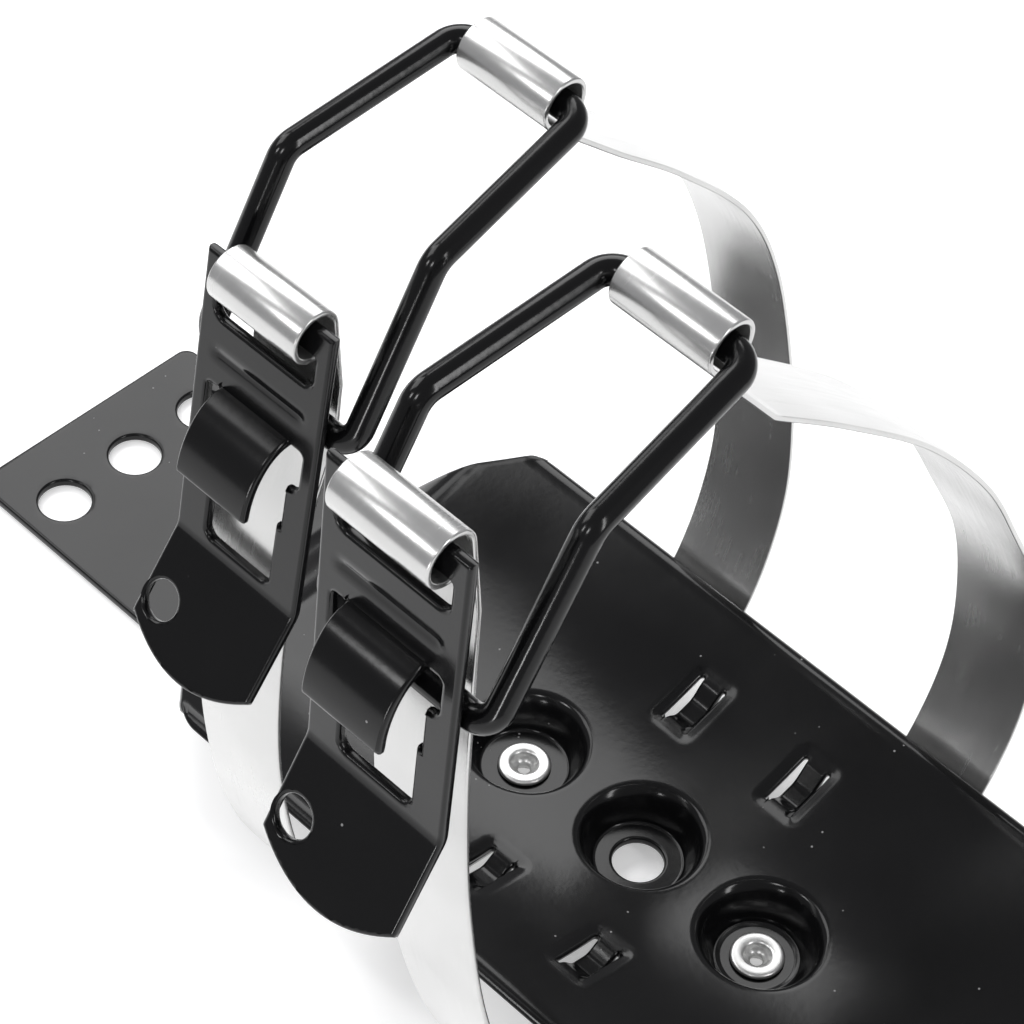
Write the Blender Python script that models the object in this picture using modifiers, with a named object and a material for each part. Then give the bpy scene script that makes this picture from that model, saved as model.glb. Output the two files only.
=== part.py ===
"""Vehicle bracket for a fire extinguisher: a pressed cradle plate, two spring
steel straps riveted to it, and an over-centre latch on each strap.

X runs along the plate, Y across it, Z up from the face that is screwed to the
wall or floor. Everything is built about the middle of the plate and moved at the
end, so that the origin is on the back of the left end tab. Sizes are in
millimetres up to the moment a point becomes a vertex.
"""
import math

import bmesh
import bpy
from mathutils import Vector
from mathutils.geometry import delaunay_2d_cdt

MM = 0.001
GAP = 0.3                   # between pieces that touch

# Backplate
PLATE_T = 2.0
PLATE_HALF_LENGTH = 168.5
TAB_HALF_WIDTH = 30.5
WING_HALF_WIDTH = 52.0
WING_HALF_LENGTH = 78.0     # where the side wings reach their full width
FLARE_HALF_LENGTH = 100.0   # where the outline leaves the end tab
CRADLE_HALF_LENGTH = 88.0   # where the cradle keeps its full section
RAMP_LENGTH = 22.0          # joggle from the cradle down to the end tab
CRADLE_RADIUS = 120.0
CRADLE_RISE = 10.5          # top of the cradle's middle above the end tab's top
LIP_WIDTH = 3.0
LIP_DROP = 1.0
BOLT_D = 11.5
BOLT_PITCH = 20.0
BOLT_X = 151.5
DATUM_X = 135.0             # from the plate's middle to the part's origin, on a tab's back

# Dimples, rivets and slots
RIVET_PITCH = 64.0
DIMPLE_DEPTH = 7.5
DIMPLE_FLOOR_R = 9.4
DIMPLE_RIM_R = 14.6
CENTRE_HOLE_D = 10.5
LANCE_X = 14.2
LANCE_Y = 30.0
LANCE_LENGTH = 11.6
LANCE_WIDTH = 6.5
LANCE_GAP = 0.8
LANCE_DEPTH = 3.4

# Straps
STRAP_W = 20.0
STRAP_T = 1.0
STRAP_SEAT = 12.0           # flat stretch each side of the rivet
CURL_R = 4.4                # middle of the rolled tube's wall
LIP = [(4.65, 3.3), (4.9, 2.3), (5.7, 1.6), (7.0, 1.4), (9.6, 1.4)]   # end of the far curl, lying on the strap

# Rivets
SHANK_D = 6.4
BORE_D = 5.0
FLANGE_D = 10.0
FLANGE_T = 1.1
CLINCH_D = 9.6
CLINCH_T = 0.9
RIVET_CLEARANCE = 0.3

# Levers, measured down the blade from the axis of the rolled tube
LEVER_T = 2.0
LEVER_W = 28.6
BAR_TOP = 2.6
SLOT_TOP = 2.9
SLOT_BOTTOM = 9.6
SLOT_SIDE_CLEARANCE = 1.2
FURROW_AT = 16.5
FURROW_DEPTH = 0.8
FURROW_W = 3.6
TONGUE_ROOT = 22.5
TONGUE_W = 18.6
TONGUE_OUT = 9.0
TONGUE_DROP = 14.5
WINDOW_GAP = 0.6
NOTCH_SIDE = 2.6
NOTCH_LENGTH = 9.0
WINDOW_STEP = 1.0
BEND_AT = 56.5
BEND_R = 5.0
TAB_ANGLE = math.radians(29)
TAB_SIDE = 19.0
TAB_MIDDLE = 24.5
FINGER_HOLE_D = 7.2
FINGER_HOLE_X = 10.0
FINGER_HOLE_AT = 14.5

# Bails
WIRE_D = 4.8
BAIL_TOP_HALF = 13.6
ARM_CLEARANCE = 0.3         # from the blade's side, which an arm swings past
KNEE_REACH = 36.0
KNEE_HEIGHT = 15.5
BAR_REACH = 63.9            # far enough for the bar to swing over the near tube
WIRE_BEND_R = 4.2

# The bore of the strap loops leans to -Y because nothing fills them. Each
# list follows the middle of the strap's wall, as (y, z) above the plate's back.
FAR_SIDE_1 = [(33, 6.0), (49, 13.5), (57, 27), (61.0, 47), (60, 67), (55.5, 91), (46.5, 122),
              (34.5, 145), (15, 166), (-3, 182)]
NEAR_SIDE_1 = [(-33, 6.0), (-50, 13.5), (-62, 27), (-72, 50), (-77.5, 80), (-77.8, 108), (-74.6, 134),
               (-67.4, 157), (-65.8, 171)]
FAR_SIDE_2 = [(33, 6.0), (49, 13.5), (57, 25), (61.2, 41), (60, 60), (54, 83), (42, 106),
              (28, 129.5), (7, 155), (-18, 178), (-38, 194.5)]
NEAR_SIDE_2 = [(-33, 6.0), (-50, 13.5), (-64, 27), (-80, 54), (-91, 88), (-97.5, 125), (-100, 155),
               (-100.6, 180), (-100.8, 200)]
LATCH_1 = {"x": -RIVET_PITCH / 2, "far": FAR_SIDE_1, "near": NEAR_SIDE_1,
           "tube_a": (-71.6, 185.8), "tube_c": (-17.9, 201.8), "blade": math.radians(7)}
LATCH_2 = {"x": RIVET_PITCH / 2, "far": FAR_SIDE_2, "near": NEAR_SIDE_2,
           "tube_a": (-107.3, 216.2), "tube_c": (-51.4, 218.7), "blade": math.radians(2)}

DIMPLE_Z = CRADLE_RISE - DIMPLE_DEPTH + PLATE_T     # top of a dimple's floor
STRAP_Z = DIMPLE_Z - PLATE_T - GAP - STRAP_T / 2    # middle of the strap at its rivet


def clear_scene():
    for obj in list(bpy.data.objects):
        bpy.data.objects.remove(obj, do_unlink=True)


def new_collection(name):
    collection = bpy.data.collections.new(name)
    bpy.context.scene.collection.children.link(collection)
    return collection


def material(name, colour, roughness, metallic):
    mat = bpy.data.materials.new(name)
    mat.use_nodes = True
    shader = mat.node_tree.nodes["Principled BSDF"]
    shader.inputs["Base Color"].default_value = (*colour, 1.0)
    shader.inputs["Roughness"].default_value = roughness
    shader.inputs["Metallic"].default_value = metallic
    return mat


def add_object(name, bm, mat, collection):
    mesh = bpy.data.meshes.new(name)
    bm.to_mesh(mesh)
    bm.free()
    mesh.materials.append(mat)
    obj = bpy.data.objects.new(name, mesh)
    collection.objects.link(obj)
    return obj


def solidify(obj, thickness, offset):
    wall = obj.modifiers.new("Wall", "SOLIDIFY")
    wall.thickness = thickness * MM
    wall.offset = offset
    wall.use_even_offset = True
    wall.use_quality_normals = True
    return wall


def smooth(obj, angle=35):
    obj.data.shade_smooth()
    obj.data.set_sharp_from_angle(angle=math.radians(angle))


def cut_round(obj, cutters, name, x, y, z, radius, depth):
    """Subtract a round hole along Z."""
    bm = bmesh.new()
    bmesh.ops.create_cone(bm, cap_ends=True, segments=32, radius1=radius * MM, radius2=radius * MM,
                          depth=depth * MM)
    mesh = bpy.data.meshes.new(name)
    bm.to_mesh(mesh)
    bm.free()
    cutter = bpy.data.objects.new(name, mesh)
    cutters.objects.link(cutter)
    cutter.location = Vector((x, y, z)) * MM
    cutter.hide_render = True
    cutter.display_type = "WIRE"
    hole = obj.modifiers.new(name, "BOOLEAN")
    hole.operation = "DIFFERENCE"
    hole.object = cutter


def smoothstep(value):
    value = min(max(value, 0.0), 1.0)
    return value * value * (3 - 2 * value)


def circle(cx, cy, radius, segments=28):
    return [(cx + radius * math.cos(2 * math.pi * i / segments),
             cy + radius * math.sin(2 * math.pi * i / segments)) for i in range(segments)]


def fillet(before, here, after, radius, segments):
    """Points of the arc that rounds the corner at here."""
    to_before = (before - here).normalized()
    to_after = (after - here).normalized()
    half = to_before.angle(to_after) / 2
    if radius <= 0 or half > math.radians(89):
        return [here]
    centre = here + (to_before + to_after).normalized() * (radius / math.sin(half))
    first = here + to_before * (radius / math.tan(half)) - centre
    last = here + to_after * (radius / math.tan(half)) - centre
    turn = first.angle(last)
    arc = []
    for k in range(segments + 1):
        angle = turn * k / segments
        arc.append(centre + (first * math.sin(turn - angle) + last * math.sin(angle)) / math.sin(turn))
    return arc


def rounded(corners, segments=5):
    """A closed outline from (x, y, radius) corners."""
    points = []
    for i, (x, y, radius) in enumerate(corners):
        before = Vector(corners[i - 1][:2])
        after = Vector(corners[(i + 1) % len(corners)][:2])
        points += [tuple(point) for point in fillet(before, Vector((x, y)), after, radius, segments)]
    return points


def box(x0, x1, y0, y1):
    return [(x0, y0), (x1, y0), (x1, y1), (x0, y1)]


def inside(point, polygon):
    x, y = point
    hit = False
    for (x0, y0), (x1, y1) in zip(polygon, polygon[1:] + polygon[:1]):
        if (y0 > y) != (y1 > y) and x < x0 + (y - y0) * (x1 - x0) / (y1 - y0):
            hit = not hit
    return hit


def pressed_sheet(outline, cutouts, loops, lines, place):
    """Triangulate a flat blank along its outline, cut-outs and guide lines, then
    press every point into shape with place(x, y)."""
    verts = []
    edges = []
    for loop in [outline] + cutouts + loops:
        start = len(verts)
        verts += [Vector(point) for point in loop]
        edges += [(start + i, start + (i + 1) % len(loop)) for i in range(len(loop))]
    for first, last in lines:
        edges.append((len(verts), len(verts) + 1))
        verts += [Vector(first), Vector(last)]
    points, _, faces, _, _, _ = delaunay_2d_cdt(verts, edges, [], 0, 0.001)
    bm = bmesh.new()
    made = [bm.verts.new(Vector(place(*point)) * MM) for point in points]
    for face in faces:
        middle = sum((points[i] for i in face), Vector((0, 0))) / 3
        if inside(middle, outline) and not any(inside(middle, hole) for hole in cutouts):
            bm.faces.new([made[i] for i in face])
    loose = [vert for vert in bm.verts if not vert.link_faces]
    bmesh.ops.delete(bm, geom=loose, context="VERTS")
    return bm


def dimple_centres():
    return [(-RIVET_PITCH / 2, SHANK_D / 2 + RIVET_CLEARANCE), (0.0, CENTRE_HOLE_D / 2),
            (RIVET_PITCH / 2, SHANK_D / 2 + RIVET_CLEARANCE)]


def lance_centres():
    return [(sx * LANCE_X, sy * LANCE_Y) for sx in (-1, 1) for sy in (-1, 1)]


def plate_height(x, y):
    """Top face of the plate above its mounting face."""
    edge = math.sqrt(CRADLE_RADIUS ** 2 - WING_HALF_WIDTH ** 2)
    arc = CRADLE_RADIUS - math.sqrt(CRADLE_RADIUS ** 2 - min(abs(y), WING_HALF_WIDTH) ** 2)
    arc = min(arc, CRADLE_RADIUS - edge)
    lip = max(0.0, abs(y) - (WING_HALF_WIDTH - LIP_WIDTH)) / LIP_WIDTH
    arc -= (LIP_DROP + arc * 0.12) * lip * lip
    full = 1 - smoothstep((abs(x) - CRADLE_HALF_LENGTH) / RAMP_LENGTH)
    z = PLATE_T + full * (CRADLE_RISE + arc)
    for cx, _ in dimple_centres():
        r = math.hypot(x - cx, y)
        if r < DIMPLE_RIM_R:
            wall = smoothstep((DIMPLE_RIM_R - r) / (DIMPLE_RIM_R - DIMPLE_FLOOR_R))
            z += (DIMPLE_Z - z) * wall
    for cx, cy in lance_centres():
        along = abs(y - cy) / (LANCE_LENGTH / 2)
        across = abs(x - cx) / (LANCE_WIDTH / 2 - LANCE_GAP)
        if along < 1 and across < 1.001:
            z -= LANCE_DEPTH * smoothstep((1 - along) / 0.45)
    return z


def plate_outline():
    quarter = [(PLATE_HALF_LENGTH, TAB_HALF_WIDTH, 3.0), (FLARE_HALF_LENGTH, TAB_HALF_WIDTH, 9.0),
               (WING_HALF_LENGTH, WING_HALF_WIDTH, 9.0)]
    corners = [(x, y, r) for x, y, r in quarter]
    corners += [(-x, y, r) for x, y, r in reversed(quarter)]
    corners += [(-x, -y, r) for x, y, r in quarter]
    corners += [(x, -y, r) for x, y, r in reversed(quarter)]
    return rounded(corners)


def build_backplate(mat, parts):
    cutouts = [circle(cx, 0, radius) for cx, radius in dimple_centres()]
    cutouts += [circle(sx * BOLT_X, row * BOLT_PITCH, BOLT_D / 2, 24) for sx in (-1, 1) for row in (-1, 0, 1)]
    loops = []
    steps = 6
    for cx, _ in dimple_centres():
        for k in range(steps + 1):
            radius = DIMPLE_FLOOR_R + (DIMPLE_RIM_R - DIMPLE_FLOOR_R) * k / steps
            loops.append(circle(cx, 0, radius, 32))
    lines = []
    for cx, cy in lance_centres():
        half = LANCE_LENGTH / 2
        inner = LANCE_WIDTH / 2 - LANCE_GAP
        for side in (-1, 1):
            near, far = sorted((cx + side * inner, cx + side * LANCE_WIDTH / 2))
            cutouts.append(box(near, far, cy - half, cy + half))
        for k in (-1.0, -0.85, -0.7, -0.55, 0.55, 0.7, 0.85, 1.0):
            lines.append(((cx - inner, cy + k * half), (cx + inner, cy + k * half)))
    rows = 5
    flat_end = WING_HALF_LENGTH
    for k in range(-rows, rows + 1):
        y = k * (WING_HALF_WIDTH - LIP_WIDTH) / rows
        if abs(y) > LANCE_Y - LANCE_LENGTH:
            lines.append(((-flat_end, y), (flat_end, y)))
        elif k:
            for side in (-1, 1):
                lines.append(((side * (RIVET_PITCH / 2 + DIMPLE_RIM_R + 1), y), (side * flat_end, y)))
    for side in (-1, 1):
        lines.append(((-flat_end, side * (WING_HALF_WIDTH - LIP_WIDTH / 2)),
                      (flat_end, side * (WING_HALF_WIDTH - LIP_WIDTH / 2))))
        for k in range(9):
            x = side * (CRADLE_HALF_LENGTH + RAMP_LENGTH * k / 8)
            lines.append(((x, -WING_HALF_WIDTH), (x, WING_HALF_WIDTH)))
        lines.append(((side * flat_end, -WING_HALF_WIDTH), (side * flat_end, WING_HALF_WIDTH)))
        for k in range(-3, 4):
            y = k * TAB_HALF_WIDTH / 4
            lines.append(((side * flat_end, y), (side * (CRADLE_HALF_LENGTH + RAMP_LENGTH), y)))
    bm = pressed_sheet(plate_outline(), cutouts, loops, lines, lambda x, y: (x, y, plate_height(x, y)))
    bmesh.ops.recalc_face_normals(bm, faces=bm.faces)
    if sum(face.normal.z for face in bm.faces) < 0:
        bmesh.ops.reverse_faces(bm, faces=bm.faces)
    plate = add_object("backplate", bm, mat, parts)
    solidify(plate, PLATE_T, -1)
    smooth(plate)
    return plate


def curve_through(points, per_span=4):
    """Catmull-Rom curve through the points, which it starts and ends on."""
    padded = [2 * points[0] - points[1]] + points + [2 * points[-1] - points[-2]]
    path = []
    for before, first, last, after in zip(padded, padded[1:], padded[2:], padded[3:]):
        for k in range(per_span):
            t = k / per_span
            path.append(0.5 * (2 * first + (last - before) * t
                               + (2 * before - 5 * first + 4 * last - after) * t * t
                               + (3 * first - before - 3 * last + after) * t ** 3))
    path.append(points[-1])
    return path


def curl(last, centre, turn, sweep, segments=20):
    """The strap's end, rolled round centre from where it meets the circle."""
    arm = centre - last
    reach = arm.length
    lean = math.acos(min(1.0, CURL_R / reach))
    start = math.atan2(-arm.y, -arm.x) + turn * lean
    points = []
    for k in range(segments + 1):
        angle = start + turn * sweep * k / segments
        points.append(centre + CURL_R * Vector((math.cos(angle), math.sin(angle))))
    return points


def strap_path(latch):
    """(y, z) points from the near tube, under the plate, round to the far tube."""
    seat = [Vector((STRAP_SEAT * step, STRAP_Z)) for step in (-1.0, -0.5, 0.5, 1.0)]
    near = [Vector(point) for point in latch["near"]]
    far = [Vector(point) for point in latch["far"]]
    middle = curve_through(list(reversed(near)) + seat + far)
    tube_a = curl(near[-1], Vector(latch["tube_a"]), 1, math.radians(305))
    tube_c = curl(far[-1], Vector(latch["tube_c"]), -1, math.radians(258))
    foot = tube_c[0]
    back = (far[-1] - foot).normalized()
    up = (Vector(latch["tube_c"]) - foot).normalized()
    lip = [foot + back * along + up * height for along, height in LIP]
    return list(reversed(tube_a)) + middle + tube_c + lip


def build_strap(name, latch, mat, parts, cutters):
    bm = bmesh.new()
    half = STRAP_W / 2
    rows = []
    for y, z in strap_path(latch):
        rows.append([bm.verts.new(Vector((latch["x"] + side * half, y, z)) * MM) for side in (-1, 1)])
    for (a, b), (c, d) in zip(rows, rows[1:]):
        bm.faces.new((a, b, d, c))
    strap = add_object(name, bm, mat, parts)
    solidify(strap, STRAP_T, 0)
    cut_round(strap, cutters, name + "_rivet_hole", latch["x"], 0, STRAP_Z,
              SHANK_D / 2 + RIVET_CLEARANCE, 4 * STRAP_T)
    smooth(strap)
    return strap


def build_rivet(name, latch, mat, parts):
    """Tubular rivet: domed flange in the dimple, clinched flare under the strap."""
    top = DIMPLE_Z + GAP
    under = STRAP_Z - STRAP_T / 2 - GAP
    bore = BORE_D / 2
    shank = SHANK_D / 2
    flange = FLANGE_D / 2
    clinch = CLINCH_D / 2
    outer = [(bore + 0.9, top + FLANGE_T), (flange - 1.2, top + FLANGE_T * 0.95),
             (flange - 0.3, top + FLANGE_T * 0.55), (flange, top + 0.15), (flange - 0.1, top), (shank, top),
             (shank, under), (clinch - 0.1, under), (clinch, under - 0.2),
             (clinch - 0.5, under - CLINCH_T), (bore + 0.9, under - CLINCH_T)]
    inner = [(bore + 0.25, under - CLINCH_T + 0.3), (bore, under), (bore, top + 0.1),
             (bore + 0.25, top + FLANGE_T - 0.3)]
    bm = bmesh.new()
    ring = [bm.verts.new(Vector((r, 0, z)) * MM) for r, z in outer + inner]
    for first, last in zip(ring, ring[1:] + ring[:1]):
        bm.edges.new((first, last))
    rivet = add_object(name, bm, mat, parts)
    turn = rivet.modifiers.new("Turn", "SCREW")
    turn.steps = 32
    turn.render_steps = 32
    turn.use_merge_vertices = True
    turn.merge_threshold = 0.00001
    turn.use_normal_calculate = True
    rivet.location.x = latch["x"] * MM
    smooth(rivet)
    return rivet


def blade_point(x, s):
    """A point of the flat blank, pressed: (x, out from the blade, down the blade)."""
    tongue_half = TONGUE_W / 2
    if abs(x) < tongue_half + 0.01 and TONGUE_ROOT < s < TONGUE_ROOT + tongue_length() + 0.01:
        angle = (s - TONGUE_ROOT) / tongue_length() * math.pi / 2
        return x, TONGUE_OUT * math.sin(angle), TONGUE_ROOT + TONGUE_DROP * (1 - math.cos(angle))
    if s > BEND_AT:
        bend = BEND_R * TAB_ANGLE
        turned = min(s - BEND_AT, bend) / BEND_R
        rest = max(0.0, s - BEND_AT - bend)
        return (x, BEND_R * (1 - math.cos(turned)) + rest * math.sin(TAB_ANGLE),
                BEND_AT + BEND_R * math.sin(turned) + rest * math.cos(TAB_ANGLE))
    slot_half = STRAP_W / 2 + SLOT_SIDE_CLEARANCE
    across = smoothstep((slot_half - abs(x)) / 2.0)
    along = math.cos(min(abs(s - FURROW_AT) / (FURROW_W / 2), 1.0) * math.pi) / 2 + 0.5
    return x, -FURROW_DEPTH * across * along, s


def tongue_length():
    """Quarter of an ellipse's rim, by Ramanujan's rule."""
    a, b = TONGUE_OUT, TONGUE_DROP
    return math.pi / 4 * (3 * (a + b) - math.sqrt((3 * a + b) * (a + 3 * b)))


def build_lever(name, latch, mat, parts):
    half = LEVER_W / 2
    tongue = TONGUE_W / 2
    tongue_end = TONGUE_ROOT + tongue_length()
    slot_half = STRAP_W / 2 + SLOT_SIDE_CLEARANCE
    arc_steps = 8
    outline = [(half, -BAR_TOP), (half, BEND_AT + TAB_SIDE)]
    for k in range(1, arc_steps):
        across = 1 - 2 * k / arc_steps
        outline.append((half * across, BEND_AT + TAB_SIDE + (TAB_MIDDLE - TAB_SIDE) * (1 - across * across)))
    outline += [(-half, BEND_AT + TAB_SIDE), (-half, -BAR_TOP)]
    window = tongue + WINDOW_GAP
    notch = window + NOTCH_SIDE
    step_at = tongue_end + 1.0
    window_end = BEND_AT - 1.0
    slot = rounded([(-slot_half, SLOT_TOP, 0.8), (slot_half, SLOT_TOP, 0.8),
                    (slot_half, SLOT_BOTTOM, 2.2), (-slot_half, SLOT_BOTTOM, 2.2)], 3)
    opening = [(-tongue, TONGUE_ROOT), (-tongue, tongue_end), (tongue, tongue_end), (tongue, TONGUE_ROOT)]
    opening += rounded([(notch, TONGUE_ROOT, 1.0), (notch, TONGUE_ROOT + NOTCH_LENGTH, 2.4),
                        (window, TONGUE_ROOT + NOTCH_LENGTH, 0), (window, step_at, 0),
                        (window - WINDOW_STEP, step_at, 0), (window - WINDOW_STEP, window_end, 2.0),
                        (-window + WINDOW_STEP, window_end, 2.0), (-window + WINDOW_STEP, step_at, 0),
                        (-window, step_at, 0), (-window, TONGUE_ROOT + NOTCH_LENGTH, 0),
                        (-notch, TONGUE_ROOT + NOTCH_LENGTH, 2.4), (-notch, TONGUE_ROOT, 1.0)], 3)
    finger = circle(-FINGER_HOLE_X, BEND_AT + FINGER_HOLE_AT, FINGER_HOLE_D / 2, 20)
    bend = BEND_R * TAB_ANGLE
    levels = [BEND_AT + bend * k / 4 for k in range(5)]
    lines = [((-half, s), (half, s)) for s in levels]
    lines += [((-slot_half, FURROW_AT + FURROW_W / 2 * k / 3), (slot_half, FURROW_AT + FURROW_W / 2 * k / 3))
              for k in range(-3, 4)]
    lines += [((side * (slot_half - inset), FURROW_AT - FURROW_W / 2),
               (side * (slot_half - inset), FURROW_AT + FURROW_W / 2))
              for side in (-1, 1) for inset in (0.0, 1.0, 2.0)]
    lines += [((-tongue, TONGUE_ROOT + tongue_length() * k / 9), (tongue, TONGUE_ROOT + tongue_length() * k / 9))
              for k in range(9)]
    bm = pressed_sheet(outline, [slot, opening, finger], [], lines, blade_point)
    down = Vector((0, -math.sin(latch["blade"]), -math.cos(latch["blade"])))
    out = Vector((0, -math.cos(latch["blade"]), math.sin(latch["blade"])))
    for vert in bm.verts:
        x, away, s = vert.co
        vert.co = Vector((x, 0, 0)) + out * away + down * s
    lever = add_object(name, bm, mat, parts)
    solidify(lever, LEVER_T, 0)
    lever.location = Vector((latch["x"], *latch["tube_a"])) * MM
    smooth(lever)
    return lever


def bar_place(latch):
    """Where the bail's lower bar lies, between the blade and the strap."""
    tube_a = Vector(latch["tube_a"])
    tube_c = Vector(latch["tube_c"])
    down = Vector((-math.sin(latch["blade"]), -math.cos(latch["blade"])))
    back = Vector((math.cos(latch["blade"]), -math.sin(latch["blade"])))
    start = tube_a + back * (LEVER_T / 2 + 1.7 * GAP + WIRE_D / 2)
    low, high = 0.0, BEND_AT
    for _ in range(40):
        middle = (low + high) / 2
        if (start + down * middle - tube_c).length < BAR_REACH:
            low = middle
        else:
            high = middle
    return start + down * low


def build_bail(name, latch, mat, parts):
    """A closed ring of bent wire with a knee in each arm."""
    tube_c = Vector(latch["tube_c"])
    bar = bar_place(latch)
    reach = bar - tube_c
    along = reach.normalized()
    over = Vector((along.y, -along.x))
    if over.y < 0:
        over = -over
    knee = tube_c + along * math.sqrt(KNEE_REACH ** 2 - KNEE_HEIGHT ** 2) + over * KNEE_HEIGHT
    corners = []
    arm_half = LEVER_W / 2 + ARM_CLEARANCE + WIRE_D / 2
    for side in (-1, 1):
        arm = [Vector((side * BAIL_TOP_HALF, 0, 0)), Vector((side * arm_half, *(knee - tube_c))),
               Vector((side * arm_half, *reach))]
        corners += arm if side > 0 else list(reversed(arm))
    curve = bpy.data.curves.new(name, "CURVE")
    curve.dimensions = "3D"
    curve.bevel_depth = WIRE_D / 2 * MM
    curve.bevel_resolution = 3
    points = []
    for i, corner in enumerate(corners):
        points += fillet(corners[i - 1], corner, corners[(i + 1) % len(corners)], WIRE_BEND_R, 5)
    spline = curve.splines.new("POLY")
    spline.points.add(len(points) - 1)
    for target, point in zip(spline.points, points):
        target.co = (*(point * MM), 1.0)
    spline.use_cyclic_u = True
    guide = bpy.data.objects.new(name + "_wire", curve)
    parts.objects.link(guide)
    mesh = bpy.data.meshes.new_from_object(guide.evaluated_get(bpy.context.evaluated_depsgraph_get()))
    bpy.data.objects.remove(guide, do_unlink=True)
    mesh.materials.clear()
    mesh.materials.append(mat)
    bail = bpy.data.objects.new(name, mesh)
    parts.objects.link(bail)
    bail.location = Vector((latch["x"], *tube_c)) * MM
    smooth(bail, 60)
    return bail


def main():
    clear_scene()
    parts = new_collection("fire_extinguisher_bracket")
    cutters = new_collection("cutters")
    black = material("black_paint", (0.012, 0.012, 0.013), 0.18, 0.0)
    steel = material("bright_steel", (0.72, 0.72, 0.71), 0.22, 1.0)
    zinc = material("rivet_steel", (0.78, 0.78, 0.77), 0.3, 1.0)
    build_backplate(black, parts)
    for number, latch in enumerate((LATCH_1, LATCH_2), start=1):
        build_strap(f"strap_{number}", latch, steel, parts, cutters)
        build_rivet(f"rivet_{number}", latch, zinc, parts)
        build_lever(f"lever_{number}", latch, black, parts)
        build_bail(f"bail_{number}", latch, black, parts)
    for obj in list(parts.objects) + list(cutters.objects):
        obj.location.x += DATUM_X * MM


main()
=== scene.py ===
# %% [markdown]
# # A latching bracket for a fire extinguisher
#
# The real bracket is a pressed steel plate with a gloss black finish. Two bright
# spring steel straps are riveted under it, and each strap is closed by a stamped
# lever and a ring of bent wire. This lesson dresses the model of that
# bracket: every piece is made again at a finer scale, with the small radii that
# catch the light, and takes the exact place of its plain solid.

# %% Load the model
import math

import bmesh
import bpy
from mathutils import Matrix, Vector
from mathutils.geometry import delaunay_2d_cdt
from mathutils.kdtree import KDTree


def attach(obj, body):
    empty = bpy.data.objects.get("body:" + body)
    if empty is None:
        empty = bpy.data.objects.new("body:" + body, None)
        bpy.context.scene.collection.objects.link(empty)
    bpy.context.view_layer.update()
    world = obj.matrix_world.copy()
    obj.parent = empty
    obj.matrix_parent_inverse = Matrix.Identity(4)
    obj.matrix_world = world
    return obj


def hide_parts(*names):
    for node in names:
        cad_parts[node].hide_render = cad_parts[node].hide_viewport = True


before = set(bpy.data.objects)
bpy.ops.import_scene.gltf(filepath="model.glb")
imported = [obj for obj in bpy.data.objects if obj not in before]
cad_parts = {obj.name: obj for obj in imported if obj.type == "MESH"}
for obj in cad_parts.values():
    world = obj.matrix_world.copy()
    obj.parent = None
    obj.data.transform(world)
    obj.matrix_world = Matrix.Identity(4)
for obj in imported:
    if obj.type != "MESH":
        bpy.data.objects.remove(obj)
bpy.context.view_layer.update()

MM = 0.001
PLATE_MIDDLE = Vector((135.0, 0.0, 0.0))


# %% [markdown]
# ## Sizes
#
# Every length is in millimetres, measured from the middle of the plate. Most of
# them repeat the sizes of the solids, because a finer piece has to sit where the
# plain one was. Only a few small forms are drawn more closely here: the slots,
# the tongue, the rivet's flange and the wall of each dimple.

# %% Sizes of the sheet, the straps and the wire
PLATE_T = 2.0
PLATE_HALF_LENGTH = 168.5
TAB_HALF_WIDTH = 30.5
WING_HALF_WIDTH = 52.0
WING_HALF_LENGTH = 78.0
FLARE_HALF_LENGTH = 100.0
CRADLE_HALF_LENGTH = 88.0
RAMP_LENGTH = 22.0
CRADLE_RADIUS = 120.0
CRADLE_RISE = 10.5
LIP_WIDTH = 3.0
LIP_DROP = 1.0
BOLT_D = 11.5
BOLT_PITCH = 20.0
BOLT_X = 151.5

RIVET_PITCH = 64.0
DIMPLE_DEPTH = 7.5
CENTRE_HOLE_D = 10.5
LANCE_X = 14.2
LANCE_Y = 30.0
LANCE_LENGTH = 11.6
LANCE_WIDTH = 6.5
LANCE_GAP = 0.8
LANCE_DEPTH = 2.8

STRAP_W = 20.0
STRAP_T = 1.0
STRAP_SEAT = 12.0
CURL_R = 4.4
GAP = 0.3
SHANK_D = 6.4
BORE_D = 5.0
FLANGE_D = 11.0
CLINCH_D = 9.6
CLINCH_T = 0.9
WIRE_D = 4.8
WIRE_BEND_R = 4.2
RIVET_HOLE_R = SHANK_D / 2 + GAP
DIMPLE_Z = CRADLE_RISE - DIMPLE_DEPTH + PLATE_T
STRAP_Z = DIMPLE_Z - PLATE_T - GAP - STRAP_T / 2
HAIR = 0.01

# %% Sizes of a lever, measured down its blade from the rolled tube, and of a bail
LEVER_T = 2.0
LEVER_W = 28.6
BAR_TOP = 2.6
SLOT_TOP = 2.9
SLOT_BOTTOM = 9.6
SLOT_SIDE_CLEARANCE = 1.2
SLOT_TOP_R = 0.8
SLOT_BOTTOM_R = 2.2
FURROW_AT = 16.5
FURROW_DEPTH = 0.5
FURROW_W = 3.6
TONGUE_ROOT = 23.2
TONGUE_W = 16.0
TONGUE_OUT = 8.4
TONGUE_DROP = 13.0
WINDOW_GAP = 0.6
NOTCH_SIDE = 2.6
NOTCH_LENGTH = 9.0
NOTCH_TOP_R = 1.0
NOTCH_BOTTOM_R = 2.4
WINDOW_STEP = 1.0
WINDOW_R = 2.0
WINDOW_END_GAP = 1.0
BEND_AT = 56.5
BEND_R = 5.0
TAB_ANGLE = math.radians(29)
TAB_SIDE = 19.0
TAB_MIDDLE = 24.5
FINGER_HOLE_D = 7.2
FINGER_HOLE_X = 10.0
FINGER_HOLE_AT = 14.5

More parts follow.
